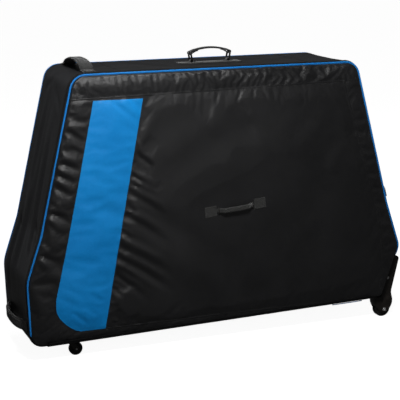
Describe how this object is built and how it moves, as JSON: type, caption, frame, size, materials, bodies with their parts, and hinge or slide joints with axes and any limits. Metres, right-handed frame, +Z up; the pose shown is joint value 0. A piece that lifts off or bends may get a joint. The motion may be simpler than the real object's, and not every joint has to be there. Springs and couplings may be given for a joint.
{
  "type": "soft bike travel bag",
  "caption": "Soft wheeled travel bag for a bicycle: padded trapezoid case with piped edges, fold-down side, handles, fixed and swivel wheels, and a rail inside for the frame.",
  "frame": {"origin": "on the floor under the middle of the bag's box", "axes": "+X along the bag towards the fixed wheels, +Y from the opening side to the far side, +Z up"},
  "size_m": [1.2659, 0.3628, 0.8962],
  "materials": {
    "black_cloth": "satin nylon",
    "base_cloth": "coated",
    "blue_cloth": "satin",
    "blue_piping": "satin",
    "webbing": "woven",
    "black_plastic": "moulded",
    "grey_plastic": "moulded",
    "rubber": "matt",
    "steel": "zinc plated",
    "aluminium": "anodised",
    "foam": "closed-cell foam",
    "pocket_mesh": "mesh"
  },
  "bodies": {
    "bag": {"base_panel": "base_cloth", "left_end_panel": "black_cloth", "top_panel": "black_cloth", "right_end_panel": "black_cloth", "far_side_panel": "black_cloth", "far_piping": "blue_piping", "far_foam_board": "foam", "far_wheel_pocket": "pocket_mesh", "far_patch_left": "webbing", "far_patch_right": "webbing", "zip_tape": "black_cloth", "top_handle_base": "webbing", "top_keeper_left": "webbing", "top_keeper_right": "webbing", "top_grab_strap": "webbing", "low_grab_strap": "webbing", "near_wheel_housing": "black_plastic", "far_wheel_housing": "black_plastic", "near_housing_screw": "steel", "far_housing_screw": "steel", "near_axle": "steel", "far_axle": "steel", "near_caster_plate": "black_plastic", "far_caster_plate": "black_plastic", "base_board": "black_plastic", "frame_rail": "aluminium"},
    "near_lid": {"near_side_panel": "black_cloth", "near_piping": "blue_piping", "near_foam_board": "foam", "near_wheel_pocket": "pocket_mesh", "near_stripe": "blue_cloth", "near_patch_left": "webbing", "near_patch_right": "webbing"},
    "near_handle": {"near_grip": "webbing"},
    "far_handle": {"far_grip": "webbing"},
    "left_ring": {"top_ring_left": "black_plastic"},
    "right_ring": {"top_ring_right": "black_plastic"},
    "top_strap": {"top_grip": "webbing"},
    "near_wheel": {"near_tyre": "rubber", "near_hub": "grey_plastic"},
    "far_wheel": {"far_tyre": "rubber", "far_hub": "grey_plastic"},
    "near_swivel": {"near_caster_fork": "black_plastic", "near_caster_axle": "steel"},
    "far_swivel": {"far_caster_fork": "black_plastic", "far_caster_axle": "steel"},
    "near_caster": {"near_caster_wheel": "rubber"},
    "far_caster": {"far_caster_wheel": "rubber"},
    "slider": {"zip_slider": "steel"},
    "pull": {"zip_pull": "steel"},
    "fork_mount": {"fork_carriage": "black_plastic", "fork_dummy_hub": "aluminium"},
    "fork_clamp": {"fork_lever": "aluminium"},
    "rear_mount": {"rear_carriage": "black_plastic", "rear_dummy_hub": "aluminium"},
    "rear_clamp": {"rear_lever": "aluminium"},
    "bracket_mount": {"bracket_carriage": "black_plastic", "bracket_pad": "rubber"}
  },
  "joints": [
    {"name": "lid_open", "type": "hinge", "parent": "bag", "child": "near_lid", "pos_m": [0, -0.1407, 0.06831], "axis": [0.9997, 0, 0.0225], "range_deg": [0, 90]},
    {"name": "near_grip_swing", "type": "hinge", "parent": "near_lid", "child": "near_handle", "pos_m": [0.0355, -0.1586, 0.424], "axis": [0.9962, 0, 0.0872], "range_deg": [-50, 50]},
    {"name": "far_grip_swing", "type": "hinge", "parent": "bag", "child": "far_handle", "pos_m": [0.0355, 0.1586, 0.424], "axis": [0.9962, 0, 0.0872], "range_deg": [-50, 50]},
    {"name": "left_ring_tilt", "type": "hinge", "parent": "bag", "child": "left_ring", "pos_m": [-0.04501, 0, 0.85442], "axis": [0, 1, 0], "range_deg": [-50, 50]},
    {"name": "right_ring_tilt", "type": "hinge", "parent": "bag", "child": "right_ring", "pos_m": [0.07499, 0, 0.85468], "axis": [0, 1, 0], "range_deg": [-50, 50]},
    {"name": "top_strap_level", "type": "hinge", "parent": "left_ring", "child": "top_strap", "pos_m": [-0.04507, 0, 0.87841], "axis": [0, 1, 0], "range_deg": [-50, 50]},
    {"name": "near_wheel_spin", "type": "hinge", "parent": "bag", "child": "near_wheel", "pos_m": [0.584, -0.105, 0.027], "axis": [0, 1, 0], "continuous": true},
    {"name": "far_wheel_spin", "type": "hinge", "parent": "bag", "child": "far_wheel", "pos_m": [0.584, 0.105, 0.027], "axis": [0, 1, 0], "continuous": true},
    {"name": "near_caster_swivel", "type": "hinge", "parent": "bag", "child": "near_swivel", "pos_m": [-0.476, -0.096, 0.045], "axis": [0, 0, 1], "continuous": true},
    {"name": "far_caster_swivel", "type": "hinge", "parent": "bag", "child": "far_swivel", "pos_m": [-0.476, 0.096, 0.045], "axis": [0, 0, 1], "continuous": true},
    {"name": "near_caster_spin", "type": "hinge", "parent": "near_swivel", "child": "near_caster", "pos_m": [-0.456, -0.096, 0.0205], "axis": [0, 1, 0], "continuous": true},
    {"name": "far_caster_spin", "type": "hinge", "parent": "far_swivel", "child": "far_caster", "pos_m": [-0.456, 0.096, 0.0205], "axis": [0, 1, 0], "continuous": true},
    {"name": "zip_run", "type": "slide", "parent": "bag", "child": "slider", "axis": [-0.2619, 0, 0.9651], "range_m": [0, 0.36]},
    {"name": "pull_turn", "type": "hinge", "parent": "slider", "child": "pull", "pos_m": [0.56698, -0.1309, 0.43721], "axis": [0, -1, 0], "range_deg": [0, 160]},
    {"name": "fork_mount_slide", "type": "slide", "parent": "bag", "child": "fork_mount", "axis": [0.9997, 0, 0.0225], "range_m": [-0.13, 0.065]},
    {"name": "fork_lever_turn", "type": "hinge", "parent": "fork_mount", "child": "fork_clamp", "pos_m": [0.32778, -0.0613, 0.17732], "axis": [0.9997, 0, 0.0225], "range_deg": [0, 90]},
    {"name": "rear_mount_slide", "type": "slide", "parent": "bag", "child": "rear_mount", "axis": [0.9997, 0, 0.0225], "range_m": [-0.065, 0.13]},
    {"name": "rear_lever_turn", "type": "hinge", "parent": "rear_mount", "child": "rear_clamp", "pos_m": [-0.33206, -0.0763, 0.16245], "axis": [0.9997, 0, 0.0225], "range_deg": [0, 90]},
    {"name": "bracket_slide", "type": "slide", "parent": "bag", "child": "bracket_mount", "axis": [0.9997, 0, 0.0225], "range_m": [-0.08, 0.08]}
  ],
  "couplings": [
    {"joint": "right_ring_tilt", "follows": "left_ring_tilt", "ratio": 1},
    {"joint": "top_strap_level", "follows": "left_ring_tilt", "ratio": -1}
  ]
}
